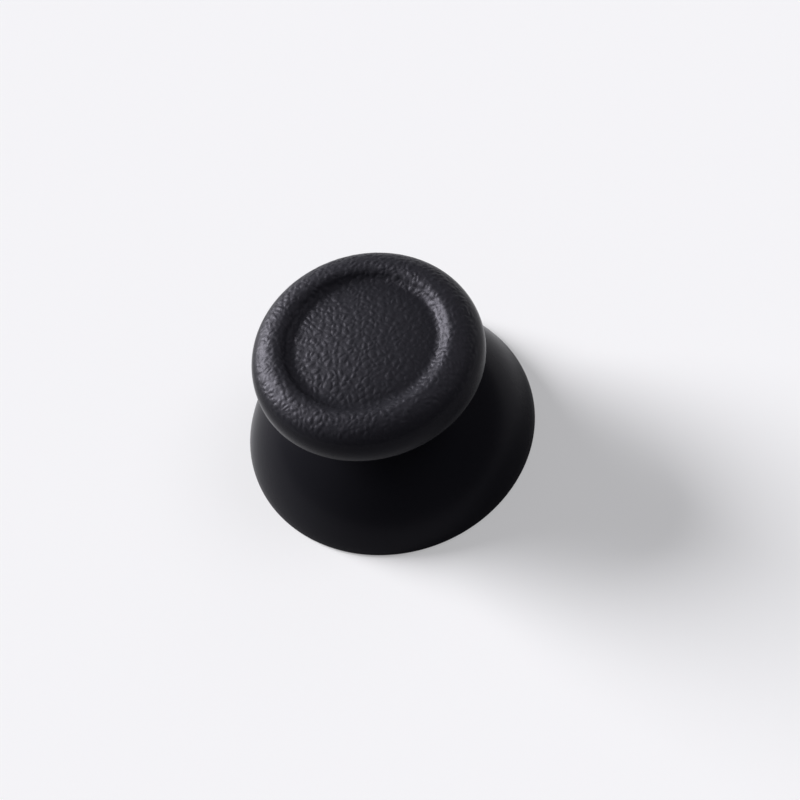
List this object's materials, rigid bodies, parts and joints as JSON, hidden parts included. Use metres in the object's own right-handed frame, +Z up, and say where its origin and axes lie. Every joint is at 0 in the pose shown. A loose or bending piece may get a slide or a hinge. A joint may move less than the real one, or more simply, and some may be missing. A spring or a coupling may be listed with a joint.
{
  "type": "thumbstick cap",
  "caption": "Mushroom-shaped cap for a controller's thumbstick: a grained round head with a rolled rim, a short neck, a domed skirt and a keyed socket underneath.",
  "frame": {"origin": "centre of the skirt's rim plane, on the stick's axis, where the cap rests on a table", "axes": "+Z up the stick's axis, from the open skirt to the head; X along the socket's wide direction and Y across its two flats"},
  "size_m": [0.024, 0.024, 0.0133],
  "materials": {
    "cap_plastic": "near-black moulded plastic, fine leather grain on top of the head, smooth satin-gloss on the head's side, neck and skirt"
  },
  "bodies": {
    "root": {"thumbstick_cap": "cap_plastic"}
  },
  "joints": []
}
